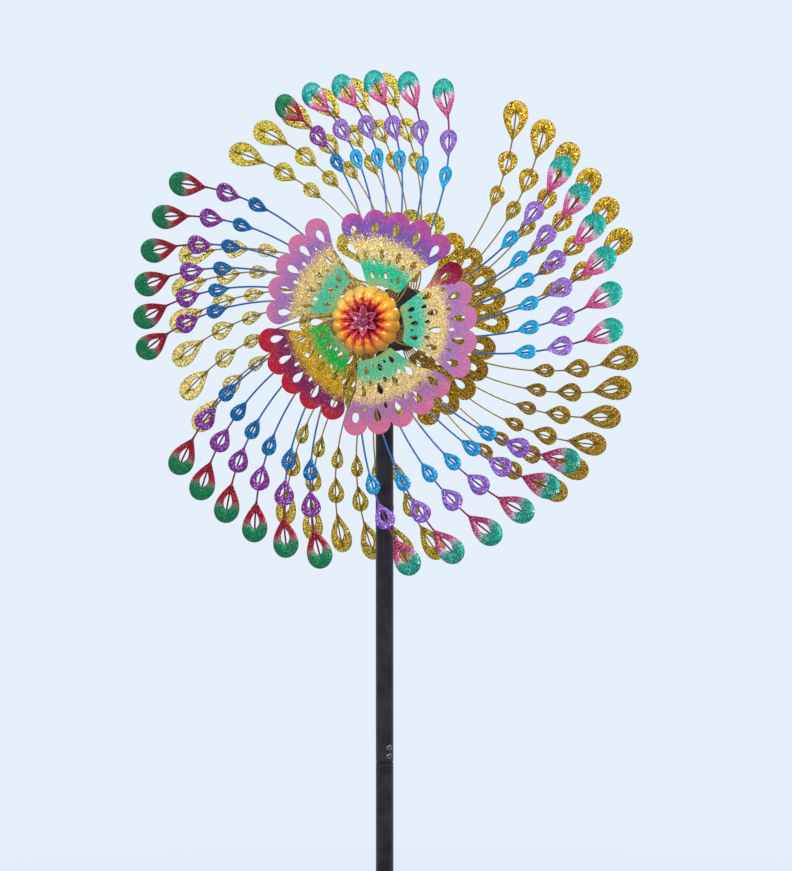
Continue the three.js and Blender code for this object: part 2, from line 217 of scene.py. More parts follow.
# ---- places ----
def rotor_place(side):
    """From a rotor's own frame in millimetres to the model's frame in metres."""
    mirror = Matrix.Diagonal((1, 1, 1 if side == "front" else -1, 1))
    outward = Matrix.Rotation(math.pi / 2, 4, "X")
    return Matrix.Translation(HUB[side]) @ outward @ mirror @ Matrix.Scale(MM, 4)


def blade_place(side, blade):
    turn = math.radians(PHASE[side] + BENT[side][blade][0] + 360 * blade / BLADES)
    pitch = Matrix.Rotation(-math.radians(BLADE_PITCH), 4, "X")
    return rotor_place(side) @ Matrix.Rotation(turn, 4, "Z") @ pitch


def polar(radius, degrees):
    return Vector((radius * math.cos(math.radians(degrees)), radius * math.sin(math.radians(degrees))))


def bent_wires(side, blade):
    """Each wire of a blade: the angle it leaves the hub at, the radius it is bent to, and its lean."""
    _, start, step, bunch, bend, lean = BENT[side][blade]
    last = (FEATHERS - 1) / 2
    for i in range(FEATHERS):
        place = i - last
        aside = place * step + bunch * (place**2 - last**2 / 2)
        yield math.radians(FEATHER_START + start + aside), bend, lean


def leaned(radius):
    """How far beyond its start a lean has gone at that radius, eased in."""
    return LEAN_SOFTNESS * math.log1p(math.exp((radius - LEAN_START) / LEAN_SOFTNESS))


def on_wire(wire, along, aside, twist, lift):
    """The point `along` a wire, `aside` to its left and `lift` in front, once turned by `twist` about it."""
    start, bend, lean = wire
    turn = along / bend
    left = aside * math.cos(twist) + lift * math.sin(twist)
    x = (bend - left) * math.sin(turn)
    y = bend - (bend - left) * math.cos(turn)
    point = Matrix.Rotation(start, 3, "Z") @ Vector((x, y, 0))
    centre = 2 * bend * math.sin(turn / 2)
    point.z = WIRE_Z - lean * leaned(centre) - aside * math.sin(twist) + lift * math.cos(twist)
    return point


# ---- feathers ----
def drop_half(share, width):
    """Half the width of a drop at a share of its length from its point."""
    if share < WIDEST:
        return width / 2 * math.sin(math.pi / 2 * share / WIDEST) ** 1.12
    return width / 2 * math.sqrt(max(0.0, 1 - ((share - WIDEST) / (1 - WIDEST)) ** 2))


def hole_half(share, width):
    return width / 2 * math.sin(math.pi * share**1.25) ** 0.85


def around(count):
    """(share of the length, side) for points round a drop, which crowd together at its two ends."""
    for angle in turns(count):
        yield 0.5 - 0.5 * math.cos(angle), math.sin(angle)


DROP_POINTS = 36


def add_drop(bm, shares, place, wire, drop, look):
    """A drop of sheet with a hole: rings of quads from the rim over the front to the hole, then behind."""
    twist = math.radians(DROP_TWIST)
    length = drop["to"] - drop["from"]
    hole_from, hole_to = drop["hole"]
    seat = WIRE_RADIUS["front"] + SHEET / 2

    def rim(inset):
        for share, side in around(DROP_POINTS):
            along = drop["from"] + length * share
            half = drop_half(share, drop["width"])
            pull = inset / (drop["width"] / 2)
            middle = drop["from"] + length * WIDEST
            yield along + (middle - along) * pull, math.copysign(half * (1 - pull), side), share

    def hole(inset):
        for share, side in around(DROP_POINTS):
            place_share = hole_from + (hole_to - hole_from) * share
            along = drop["from"] + length * place_share + inset * (2 * share - 1)
            half = hole_half(share, drop["hole_width"]) + inset
            yield along, math.copysign(half, side), place_share

    def halfway():
        for (a, b, c), (d, e, f) in zip(rim(BEVEL), hole(BEVEL)):
            yield (a + d) / 2, (b + e) / 2, (c + f) / 2

    half = SHEET / 2
    crown = 0.35  # how far a drop's middle is domed
    rings = [
        (rim(0), half - BEVEL), (rim(BEVEL), half), (halfway(), half + crown), (hole(BEVEL), half),
        (hole(0), half - BEVEL), (hole(0), BEVEL - half), (hole(BEVEL), -half), (halfway(), crown - half),
        (rim(BEVEL), -half), (rim(0), BEVEL - half),
    ]
    loops = []
    for points, height in rings:
        loops.append([])
        for along, aside, share in points:
            vert = vertex(bm, place, *on_wire(wire, along, aside, twist, seat + height))
            vert[shares] = share
            loops[-1].append(vert)
    for k in range(len(loops)):
        material = look if k in (1, 2, 6, 7) else 1
        bridge(bm, [loops[k], loops[(k + 1) % len(loops)]], material=material)


def drops(side, blade, size, materials):
    bm = bmesh.new()
    shares = bm.verts.layers.float.new("share")
    odd = ODD_WIRE.get((side, blade))
    for i, wire in enumerate(bent_wires(side, blade)):
        add_drop(bm, shares, blade_place(side, blade), wire, DROPS[size], 2 if i == odd else 0)
    return finish_mesh(f"{side}_{size}_drops_{blade + 1}", bm, materials)


WELD_RISE, WELD_REACH = 0.55, 1.7


def weld_bulge(along):
    """How much thicker a wire is near the two ends of a drop, where it is welded to it."""
    welds = [drop["from"] + 3 for drop in DROPS.values()] + [drop["to"] - 4 for drop in DROPS.values()]
    return sum(WELD_RISE * math.exp(-(((along - weld) / WELD_REACH) ** 2)) for weld in welds)


def gathered(wire, i, along):
    """A wire as it runs near the hub, close to the others of its blade."""
    start, bend, lean = wire
    share = min(1.0, max(0.0, (along - GATHER_FROM) / (GATHER_TO - GATHER_FROM)))
    fade = 1 - share * share * (3 - 2 * share)
    return start - math.radians(GATHER_TURN + GATHER_STEP * i) * fade, bend, lean


def wires(side, blade, material):
    place = blade_place(side, blade)
    sides, steps = 10, 118
    bm = bmesh.new()
    for number, wire in enumerate(bent_wires(side, blade)):
        loops = []
        for i in range(steps + 1):
            along = WIRE_START + (WIRE_END - WIRE_START) * i / steps
            near = gathered(wire, number, along)
            radius = (WIRE_RADIUS[side] + weld_bulge(along)) * (0.45 if i in (0, steps) else 1)
            loops.append([])
            for angle in turns(sides):
                point = on_wire(near, along, radius * math.cos(angle), 0, radius * math.sin(angle))
                loops[-1].append(vertex(bm, place, *point))
        bridge(bm, loops)
        cap(bm, loops)
    return finish_mesh(f"{side}_wires_{blade + 1}", bm, [material])


# ---- fan plates ----
def side_angle(middle):
    waist = polar(FAN_WAIST, FAN_WAIST_HALF - middle) - Vector((LOBE_CENTRE, 0))
    return math.degrees(math.atan2(waist.y, waist.x) - math.acos(LOBE_RADIUS / waist.length))


def notch_angle():
    half = math.radians(LOBE_STEP / 2)
    reach = LOBE_CENTRE * math.sin(half)
    return LOBE_STEP / 2 + math.degrees(math.atan2(reach, math.sqrt(LOBE_RADIUS**2 - reach**2)))


def fan_outline():
    last = (LOBES - 1) // 2
    notch = notch_angle()
    side = side_angle(last * LOBE_STEP)
    points = []

    def straight(start, end, count):
        points.extend(start.lerp(end, i / count) for i in range(count))

    foot = FAN_INNER + 3, FAN_INNER_HALF + 0.4  # a corner of the inner edge, which is cut off to round it
    straight(polar(foot[0], -foot[1]), polar(FAN_WAIST, -FAN_WAIST_HALF), 12)
    for lobe in range(-last, last + 1):
        start = -side if lobe == -last else -notch
        end = side if lobe == last else notch
        steps = 18
        for i in range(0 if lobe == -last else 1, steps + 1):
            angle = start + (end - start) * i / steps
            points.append(polar(LOBE_CENTRE, lobe * LOBE_STEP) + polar(LOBE_RADIUS, lobe * LOBE_STEP + angle))
    straight(polar(FAN_WAIST, FAN_WAIST_HALF), polar(*foot), 12)
    points.append(polar(*foot))
    arc = FAN_INNER_HALF - 5
    points.extend(polar(FAN_INNER, arc - 2 * arc * i / 16) for i in range(17))
    return points


def fan_hole(radius, length, width, degrees):
    """A pierced teardrop that points to the hub."""
    points = []
    for share, side in around(22):
        half = drop_half(share, width)
        point = Vector((radius + length * (share - 0.5), math.copysign(half, side)))
        points.append(Matrix.Rotation(math.radians(degrees), 2) @ point)
    return points


def fan_holes():
    for radius, length, width, count, step in FAN_HOLES:
        for i in range(count):
            yield fan_hole(radius, length, width, (i - (count - 1) / 2) * step)


def inside(point, loop):
    hit = False
    for a, b in zip(loop, loop[1:] + loop[:1]):
        if (a.y > point.y) != (b.y > point.y):
            if point.x < a.x + (b.x - a.x) * (point.y - a.y) / (b.y - a.y):
                hit = not hit
    return hit


def fan_flat():
    """The plate's triangles, with points spread evenly over it so that it can be shaped."""
    spacing, rows, columns = 4.5, 24, 40
    outline = fan_outline()
    holes = list(fan_holes())
    border = [point for loop in [outline, *holes] for point in loop]

    def solid(point):
        return inside(point, outline) and not any(inside(point, hole) for hole in holes)

    grid = []
    for row in range(rows):
        for column in range(columns):
            across = column - columns / 2 + 0.5 * (row % 2)
            point = Vector((FAN_INNER - 4 + row * spacing * 0.87, across * spacing))
            if solid(point) and min((point - other).length for other in border) > spacing * 0.45:
                grid.append(point)
    edges = []
    first = 0
    for loop in [outline, *holes]:
        edges += [(first + i, first + (i + 1) % len(loop)) for i in range(len(loop))]
        first += len(loop)
    points, _, triangles, *_ = geometry.delaunay_2d_cdt(border + grid, edges, [], 0, 1e-5)
    kept = []
    for triangle in triangles:
        centre = sum((points[i] for i in triangle), Vector((0, 0))) / 3
        if solid(centre):
            kept.append(list(triangle))
    return points, kept


FAN_FLAT = fan_flat()


def fan_height(point):
    """The plate is pressed: its lobes are slightly cupped and it bows along its middle."""
    radius = point.length
    angle = math.degrees(math.atan2(point.y, point.x))
    lobe = math.cos(math.radians(360 * angle / LOBE_STEP))
    outward = min(1.0, max(0.0, (radius - CUP_START) / CUP_WIDTH))
    return CUP * outward**2 * lobe - BOW * point.y**2


# The line that one plate's last lobe is bent back along, the way across it, and the angle.
FOLD_START, FOLD_END = polar(122, LOBE_STEP * 1.5), polar(86, FAN_WAIST_HALF - 1)
FOLD_LINE = (FOLD_END - FOLD_START).normalized()
FOLD_WAY = Vector((FOLD_LINE.y, -FOLD_LINE.x))
FOLD = math.radians(20)


def beyond_fold(point):
    return (point - FOLD_START).dot(FOLD_WAY)


def folded(point, height):
    past = max(0.0, beyond_fold(point))
    return point - FOLD_WAY * past * (1 - math.cos(FOLD)), height - past * math.sin(FOLD)


def fan(side, blade, materials):
    """A fan plate. With a third material its last lobe is bent back and has that material."""
    place = blade_place(side, blade)
    pivot = Vector((LOBE_CENTRE + LOBE_RADIUS, 0))
    turn = Matrix.Rotation(math.radians(FAN_TURN), 2)
    points, triangles = FAN_FLAT
    bm = bmesh.new()
    sheets = []
    for offset in (SHEET / 2, -SHEET / 2):
        verts = []
        for point in points:
            flat, height = point, fan_height(point) + offset
            if len(materials) > 2:
                flat, height = folded(flat, height)
            x, y = pivot + turn @ (flat - pivot)
            verts.append(vertex(bm, place, x, y, height))
        sheets.append(verts)
    front, back = sheets
    for a, b, c in triangles:
        bent = len(materials) > 2 and beyond_fold((points[a] + points[b] + points[c]) / 3) > 0
        for face in ((front[a], front[b], front[c]), (back[c], back[b], back[a])):
            bm.faces.new(face).material_index = 2 if bent else 0
    bm.verts.index_update()
    bm.verts.ensure_lookup_table()
    count = len(points)
    for edge in [e for e in bm.edges if e.is_boundary]:
        i, j = (v.index for v in edge.verts)
        if i < count:
            corners = [bm.verts[k] for k in (i, j, j + count, i + count)]
            bm.faces.new(corners).material_index = 1
    piece = finish_mesh(f"{side}_fan_plate_{blade + 1}", bm, materials)
    return soften(piece, BEVEL, material=1)


# ---- flower ----
FLUTES, FLUTE_DEPTH = 16, 3.8
DISH_RADIUS, DISH_WALL = 42, 1.2
DISH = [(2.6, 16.9), (8, 17), (13, 18.6), (18, 22), (23.5, 25), (29, 25.2), (35, 22.4), (39.8, 16.5),
        (DISH_RADIUS, 9.5), (DISH_RADIUS, 6)]


def ridge(angle):
    """1 on the middle of a petal, and 0 in the valley beside it."""
    return abs(math.sin(FLUTES / 2 * angle)) ** 0.8


def dish_point(radius, height, angle, share):
    """A point of the dish, with petals and sharp valleys between them, but flat over the axle's end."""
    dip = 1 - ridge(angle)
    flat = min(1.0, max(0.0, (radius - 6) / 10))
    depth = math.sin(math.pi * min(1.0, share * 0.72 + 0.1)) * FLUTE_DEPTH * flat
    pinch = 1 - 0.075 * dip * max(0.0, share - 0.35) / 0.65
    return radius * pinch * math.cos(angle), radius * pinch * math.sin(angle), height - depth * dip


def dish(side, material):
    place = rotor_place(side)
    profile = spline(DISH, 6)
    segments = FLUTES * 16
    bm = bmesh.new()
    valleys = bm.verts.layers.float.new("valley")
    loops = []
    for wall in (0, DISH_WALL):
        stretch = profile if wall == 0 else profile[::-1]
        for radius, height in stretch:
            share = profile.index(Vector((radius, height))) / (len(profile) - 1)
            loop = []
            for angle in turns(segments):
                inner = max(2.0, radius - wall * share)
                lower = height - wall * (1 - 0.7 * share)
                vert = vertex(bm, place, *dish_point(inner, lower, angle, share))
                vert[valleys] = 1 - ridge(angle)
                loop.append(vert)
            loops.append(loop)
    bridge(bm, loops, wrap=True)
    return finish_mesh(f"{side}_flower_dish", bm, [material])


# The star's petals: where they start, how far they reach, their half width, how far their edges stand up,
# the height of the base and how thick they are.
STAR = {"start": 4.5, "reach": 14.5, "half": 6.0, "edge": 2.4, "seat": 18.6, "wall": 0.8}


def rim_of(grid):
    """The vertices round the edge of a grid of them."""
    far = [line[-1] for line in grid[1:]]
    near = [line[0] for line in grid[-2:0:-1]]
    return grid[0] + far + grid[-1][-2::-1] + near


def star(side, material):
    """Six cupped petals with raised edges that stand round the rivet."""
    place = rotor_place(side)
    petals, rows, columns = 6, 10, 8
    start, reach, widest, edge, seat, wall = STAR.values()
    bm = bmesh.new()
    edge_highlights = bm.verts.layers.float.new("fold")
    for turn in turns(petals):
        middle = turn + math.pi / 2
        sheets = []
        for under in (0, wall):
            grid = []
            for row in range(rows + 1):
                share = row / rows
                radius = start + reach * share
                half = widest * min(1.0, 0.5 + 1.8 * share) * (1 - share**1.7) ** 0.85 + 0.2
                line = []
                for column in range(columns + 1):
                    across = 2 * column / columns - 1
                    fold = edge * abs(across) ** 1.6 * math.sin(math.pi * (0.15 + 0.7 * share))
                    base = seat + 0.030 * max(0, radius - 6) ** 2
                    angle = middle + across * half / radius
                    x, y = radius * math.cos(angle), radius * math.sin(angle)
                    vert = vertex(bm, place, x, y, base + fold - under)
                    # How much painted highlight a point gets: most on the raised edges and towards the tips.
                    vert[edge_highlights] = max(abs(across) ** 2.5, share**4) * (0.5 + 0.5 * share)
                    line.append(vert)
                grid.append(line)
            sheets.append(grid)
        top, bottom = sheets
        bridge(bm, top, closed=False)
        bridge(bm, bottom, closed=False)
        bridge(bm, [rim_of(top), rim_of(bottom)])
    return finish_mesh(f"{side}_flower_star", bm, [material])


def rivet(side, material):
    profile = [(0, 16), (2.2, 16), (2.2, 20.4), (6.0, 20.6), (6.8, 21.6), (6.2, 23.1), (5.3, 23.5),
               (4.5, 22.9), (3.6, 23.1), (2.7, 24.5), (1.5, 25.4), (0, 25.7)]
    mounting = f"{side}_rotor", f"{side}_star_paint", f"{side}_flower_rivet"
    turned(f"{side}_flower_rivet", profile, rotor_place(side), material, mounting, 0.2, 48)


# ---- hub and axle ----
BARREL = {"radius": 13, "bore": 11.3, "shoulder": 9.6, "back": -22, "front": 6, "depth": 7.5}
BEARING = {"width": 7, "outer": 11, "hollow": 9.2, "shield": 6.6, "core": 6.2, "lip": 0.6}
DISC_RADIUS, DISC_BACK, DISC_FRONT = 40, -5.3, -3.9
NUT_ACROSS, NUT_WIDTH = 13, 6.5
TURN_DEGREES = [7.5 * i for i in range(48)]  # the points round a nut or a screw


def barrel_and_disc(side, looks):
    place = rotor_place(side)
    body = f"{side}_rotor"
    radius, bore, shoulder, back, front, depth = BARREL.values()
    profile = [(bore, back), (radius, back), (radius, front), (bore, front), (bore, front - depth),
               (shoulder, front - depth), (shoulder, back + depth), (bore, back + depth)]
    turned(f"{side}_barrel", profile, place, looks["gold"], (body, "gold_paint", f"{side}_hub_barrel"), 0.4)
    profile = ring(radius + 0.3, DISC_RADIUS, DISC_BACK, DISC_FRONT)
    mounting = body, "black_paint", f"{side}_hub_disc"
    turned(f"{side}_disc", profile, place, looks["black"], mounting, 0.5, 96)


def bearings(side, looks):
    """Each bearing's race turns with the barrel, and its core stays on the axle."""
    place = rotor_place(side)
    width, outer, hollow, shield, core, lip = BEARING.values()
    for where, start in (("inner", BARREL["back"] + 0.2), ("outer", BARREL["front"] - 7.2)):
        end = start + width
        race = [(shield, start), (outer, start), (outer, end), (shield, end), (shield, end - lip),
                (hollow, end - lip), (hollow, start + lip), (shield, start + lip)]
        bearing = {"race": (race, f"{side}_rotor"), "core": (ring(AXLE_BORE, core, start, end), "stand")}
        for part, (profile, body) in bearing.items():
            mounting = body, "bearing_steel", f"{side}_{where}_bearing_{part}"
            turned(f"{side}_{where}_{part}", profile, place, looks["steel"], mounting, 0.2)


def axle_fittings(side, looks):
    """What keeps a rotor in its place along the axle."""
    back, front = BARREL["back"], BARREL["front"]
    sleeve_start = POLE_RADIUS + 0.6 - abs(HUB[side].y) / MM
    fittings = {
        "axle_sleeve": (ring(AXLE_BORE, 7, sleeve_start, back - 1.3), "black", "black_paint"),
        "inner_washer": (ring(AXLE_BORE, 6.2, back - 1, back - 0.1), "zinc", "zinc_steel"),
        "outer_washer": (ring(AXLE_BORE, 8.5, front + 0.1, front + 1.3), "zinc", "zinc_steel"),
    }
    for name, (profile, look, slot) in fittings.items():
        mounting = "stand", slot, f"{side}_{name}"
        turned(f"{side}_{name}_fine", profile, rotor_place(side), looks[look], mounting, 0.25)


def lock_nut(side, looks):
    low = BARREL["front"] + 1.6
    high = low + NUT_WIDTH
    bm = bmesh.new()
    loops = []
    for height, inner in ((low, False), (high, False), (high, True), (low, True)):
        loop = []
        for angle in TURN_DEGREES:
            across = NUT_ACROSS / 2 / math.cos(math.radians((angle + 30) % 60 - 30))
            point = polar(AXLE_BORE if inner else across, angle)
            loop.append(vertex(bm, rotor_place(side), *point, height))
        loops.append(loop)
    bridge(bm, loops, wrap=True)
    nut = soften(finish_mesh(f"{side}_nut", bm, [looks["zinc"]]), 0.3)
    mount(nut, "stand", "zinc_steel", f"{side}_lock_nut")


# ---- pole and stake ----
STAND = Matrix.Scale(MM, 4)  # from the stand's own millimetres to the model's frame


def tube(node, looks):
    """A pole tube in the place of its CAD node, with a reduced end above its shoulder."""
    low, high = (corner.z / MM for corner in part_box(node))
    bore = POLE_RADIUS - POLE_WALL
    if node == "upper_pole_tube":
        profile = ring(bore, POLE_RADIUS, low, high)
    else:
        shoulder = high - POLE_OVERLAP
        plug = bore - 0.4
        profile = [(bore, low), (POLE_RADIUS, low), (POLE_RADIUS, shoulder - 1.5), (plug, shoulder),
                   (plug, high), (plug - POLE_WALL, high), (plug - POLE_WALL, shoulder - 1),
                   (bore, shoulder - 3)]
    mounting = "stand", "bronze_paint", node
    turned(node.replace("_tube", ""), profile, STAND, looks["bronze"], mounting, 0.35, 96)


SCREW_TURN = 41  # degrees from the front towards +X
SCREW_HEAD = [(2.5, 9.8), (2.5, 11.1), (4.1, 11.15), (4.25, 11.5), (4.1, 12.7), (3.5, 13.7), (2.9, 14.2)]
RECESS_CORE, RECESS_ARM = 0.7, 1.7
RECESS = [(14.35, 1.0), (13.0, 0.82)]  # the height and the scale of its mouth and its floor


def screw(node, looks):
    """A pan-head screw with a cross recess, square to the pole's side."""
    low, high = (Vector(corner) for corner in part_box(node))
    height = (low.z + high.z) / 2 / MM
    turn = math.radians(SCREW_TURN)
    direction = Vector((math.sin(turn), -math.cos(turn), 0))
    square = direction.to_track_quat("Z", "Y").to_matrix().to_4x4()
    place = STAND @ Matrix.Translation((0, 0, height)) @ square
    bm = bmesh.new()
    loops = []
    for radius, z in SCREW_HEAD:
        loops.append([vertex(bm, place, *polar(radius, angle), z) for angle in TURN_DEGREES])
    bridge(bm, loops)
    bm.faces.new(loops[0])
    for depth, scale in RECESS:
        loop = []
        for angle in TURN_DEGREES:
            arm = RECESS_ARM * abs(math.cos(math.radians(2 * angle))) ** 4
            loop.append(vertex(bm, place, *polar((RECESS_CORE + arm) * scale, angle), depth))
        bridge(bm, [loops[-1], loop])
        loops.append(loop)
    bm.faces.new(loops[-1])
    mount(finish_mesh(node + "_head", bm, [looks["zinc_dark"]]), "stand", "zinc_steel", node)


PRONG_INNER, PRONG_OUTER, PRONG_RADIUS = 15.6, 70, 4
PRONG_POINT, PRONG_TAPER = -231, 30


def prong(index, looks):
    """A bent round rod, drawn down to a point."""
    inner, outer = PRONG_INNER, PRONG_OUTER
    route = [(inner, 95), (inner, 60), (inner + 2, 36), (inner + 14, 20), (outer - 14, 12), (outer - 2, 0),
             (outer, -24), (outer, -120), (outer, -200), (outer, PRONG_POINT + 2)]
    centre = spline(route, 8)
    last = len(centre) - 1
    place = STAND @ Matrix.Rotation(math.radians(45 + 90 * index), 4, "Z")
    bm = bmesh.new()
    loops = []
    for i, point in enumerate(centre):
        tangent = (centre[min(i + 1, last)] - centre[max(i - 1, 0)]).normalized()
        across = Vector((tangent.y, -tangent.x))
        taper = min(1.0, max(0.14, (point.y - PRONG_POINT) / PRONG_TAPER))
        radius = PRONG_RADIUS * taper * (0.9 if i == 0 else 1)
        loop = []
        for angle in turns(20):
            out = point + across * radius * math.cos(angle)
            loop.append(vertex(bm, place, out.x, radius * math.sin(angle), out.y))
        loops.append(loop)
    bridge(bm, loops)
    cap(bm, loops)
    piece = finish_mesh(f"prong_{index + 1}", bm, [looks["bronze"]])
    mount(piece, "stand", "bronze_paint", f"ground_prong_{index + 1}")


def stand(looks):
    for node in ("lower_pole_tube", "middle_pole_tube", "upper_pole_tube"):
        tube(node, looks)
    for joint in ("lower", "upper"):
        for i in (1, 2):
            screw(f"{joint}_joint_screw_{i}", looks)
    for i in range(4):
        prong(i, looks)
    profile = ring(0, PLATE_RADIUS, 0, PLATE_THICK)
    turned("plate", profile, STAND, looks["bronze"], ("stand", "bronze_paint", "ground_plate"), 0.6, 96)
    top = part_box("upper_pole_tube")[1].z / MM
    plug = POLE_RADIUS - POLE_WALL - 0.3
    profile = [(0, top - 12), (plug, top - 12), (plug, top + 0.3), (POLE_RADIUS, top + 0.3),
               (POLE_RADIUS, top + 2), (9.8, top + 4), (7.4, top + 5.4), (4, top + 5.9), (0, top + 6)]
    turned("top_cap", profile, STAND, looks["plastic"], ("stand", "black_plastic", "pole_top_cap"))
    length = abs(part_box("axle")[1].y) / MM
    along = Matrix.Translation((0, 0, HUB["front"].z / MM)) @ Matrix.Rotation(math.pi / 2, 4, "X")
    profile = ring(0, AXLE_RADIUS, -length, length)
    turned("axle_rod", profile, STAND @ along, looks["zinc"], ("stand", "zinc_steel", "axle"), 0.5)


# ---- materials ----
def fill(tree, node, inputs):
    """Sets a node's inputs. Each is a value, or the socket that it is linked from."""
    for name, value in inputs.items():
        if isinstance(value, bpy.types.NodeSocket):
            tree.links.new(value, node.inputs[name])
        else:
            node.inputs[name].default_value = value


def add(tree, kind, inputs=None, **settings):
    node = tree.nodes.new("ShaderNode" + kind)
    for name, value in settings.items():
        setattr(node, name, value)
    fill(tree, node, inputs or {})
    return node


def math_node(tree, operation, a, b, c=0.0):
    return add(tree, "Math", {0: a, 1: b, 2: c}, operation=operation).outputs[0]


def vector_node(tree, operation, a, b=(0, 0, 0), output="Vector"):
    return add(tree, "VectorMath", {0: a, 1: b}, operation=operation).outputs[output]


def noise(tree, coords, scale, detail):
    return add(tree, "TexNoise", {"Vector": coords, "Scale": scale, "Detail": detail}).outputs["Fac"]


def attribute(tree, name):
    return add(tree, "Attribute", attribute_name=name).outputs["Fac"]


def bumped(tree, height, strength, distance):
    relief = {"Height": height, "Strength": strength, "Distance": distance}
    return add(tree, "Bump", relief).outputs["Normal"]


def ramp(tree, factor, stops, interpolation="LINEAR"):
    """A colour, or a grey given as one number, that goes through `stops`."""
    node = add(tree, "ValToRGB", {"Fac": factor})
    elements = node.color_ramp.elements
    node.color_ramp.interpolation = interpolation
    while len(elements) > 1:
        elements.remove(elements[-1])
    for i, (position, colour) in enumerate(stops):
        element = elements[0] if i == 0 else elements.new(position)
        element.position = position
        element.color = (*colour, 1) if isinstance(colour, tuple) else (colour, colour, colour, 1)
    return node.outputs["Color"]


def mix(tree, factor, a, b, blend="MIX"):
    node = add(tree, "Mix", data_type="RGBA", blend_type=blend)
    sources = {0: factor, 6: a, 7: b}
    fill(tree, node, {i: (*v, 1) if isinstance(v, tuple) else v for i, v in sources.items()})
    return node.outputs[2]


def new_material(name):
    """A material with its node tree, its shader and its coordinates."""
    material = bpy.data.materials.new(name)
    material.use_nodes = True
    tree = material.node_tree
    return material, tree, tree.nodes["Principled BSDF"], add(tree, "TexCoord").outputs["Object"]


def linear(r, g, b):
    """A display colour as the linear one that a shader takes."""
    return tuple(c / 12.92 if c <= 0.04045 else ((c + 0.055) / 1.055) ** 2.4 for c in (r, g, b))


FLAKE = 1.05  # size of a glitter flake in millimetres


def glitter(name, position, stops, speckle, sparkle, flake_colour, dark=0.3):
    """Glitter paint. `position(tree)` gives where each point lies along `stops`, which blend over `speckle`
    in scattered dots. `sparkle` is how much the flakes show, as a number or as stops of its own, and `dark`
    is how light the darkest ones are."""
    material, tree, shader, coords = new_material(name)
    flakes = add(tree, "TexVoronoi", {"Vector": coords, "Scale": 1 / (FLAKE * MM)}).outputs["Color"]
    random = add(tree, "SeparateColor", {0: flakes}).outputs
    place = cloud = noise(tree, coords, 90, 4)
    if position:
        place = position(tree)
        for source in (random[0], cloud):
            scatter = math_node(tree, "MULTIPLY_ADD", source, speckle, -speckle / 2)
            place = math_node(tree, "ADD", place, scatter)
    base = ramp(tree, place, stops)
    amount = ramp(tree, place, sparkle) if isinstance(sparkle, list) else sparkle
    shade = ramp(tree, random[1], [(0.12, dark), (0.5, 0.9), (1.0, 1.0)])
    shaded = mix(tree, amount, base, mix(tree, 1.0, base, shade, "MULTIPLY"))
    bright = ramp(tree, random[2], [(0.86, 0.0), (0.96, 0.6)])
    glint = math_node(tree, "MULTIPLY", bright, amount)
    lean = vector_node(tree, "SUBTRACT", flakes, (0.5, 0.5, 0.5))
    strength = math_node(tree, "MULTIPLY", amount, 0.55)
    tilt = add(tree, "VectorMath", {0: lean, "Scale": strength}, operation="SCALE").outputs[0]
    facing = vector_node(tree, "ADD", add(tree, "NewGeometry").outputs["Normal"], tilt)
    fill(tree, shader, {
        "Base Color": mix(tree, glint, shaded, flake_colour),
        "Normal": vector_node(tree, "NORMALIZE", facing),
        "Roughness": ramp(tree, random[0], [(0.0, 0.22), (1.0, 0.5)]),
        "Metallic": 0.5,
        "Specular IOR Level": 0.25,
        "Coat Weight": 0.08,
        "Coat Roughness": 0.12,
    })
    return material


def share_of_drop(tree):
    return attribute(tree, "share")


def from_hub(tree, side):
    return vector_node(tree, "SUBTRACT", add(tree, "TexCoord").outputs["Object"], HUB[side])


def radius_over(side, reach):
    """Where a point lies between the axis and `reach` millimetres from it, from 0 to 1."""
    def position(tree):
        flat = vector_node(tree, "MULTIPLY", from_hub(tree, side), (1, 0, 1))
        radius = vector_node(tree, "LENGTH", flat, output="Value")
        return math_node(tree, "DIVIDE", radius, reach * MM)
    return position


SILVER = linear(0.93, 0.90, 0.88)
DULL = linear(0.55, 0.60, 0.52)
GOLD = linear(0.84, 0.64, 0.06)
AMBER = linear(0.78, 0.52, 0.03)
PALE_GOLD = linear(1.0, 0.95, 0.72)
LILAC = linear(0.92, 0.80, 1.0)
ICE = linear(0.70, 0.92, 1.0)
FRINGE = linear(0.62, 0.74, 0.46)  # the inner edge of every fan plate
# Copies of one paint, in display colours: the bands of a fan plate, from its inner edge out. The pale copies
# carry a painted sheen and the deep and crimson ones painted shade, over small differences in the blades' own
# paint.
FAN_LIT_AND_SHADED_PAINTS = {
    "bright": ((0.24, 0.76, 0.63), (0.91, 0.78, 0.52), (0.66, 0.46, 0.68), (0.77, 0.44, 0.64)),
    "sage": ((0.34, 0.73, 0.55), (0.88, 0.75, 0.50), (0.65, 0.43, 0.62), (0.80, 0.41, 0.56)),
    "violet": ((0.04, 0.74, 0.56), (0.91, 0.78, 0.52), (0.48, 0.32, 0.65), (0.68, 0.29, 0.58)),
    "rosy": ((0.30, 0.73, 0.58), (0.88, 0.74, 0.46), (0.62, 0.42, 0.68), (0.79, 0.44, 0.62)),
    "deep": ((0.02, 0.66, 0.26), (0.81, 0.61, 0.03), (0.46, 0.11, 0.32), (0.70, 0.07, 0.18)),
    "crimson": ((0.91, 0.78, 0.52), (0.78, 0.48, 0.42), (0.58, 0.10, 0.30), (0.52, 0.03, 0.17)),
}
FAN_REACH = 140
# Which copy each front blade takes: paler copies with a painted sheen, and the deep copy with painted shade
# on the lower left blade.
FRONT_FANS = ["bright", "violet", "rosy", "deep", "sage"]
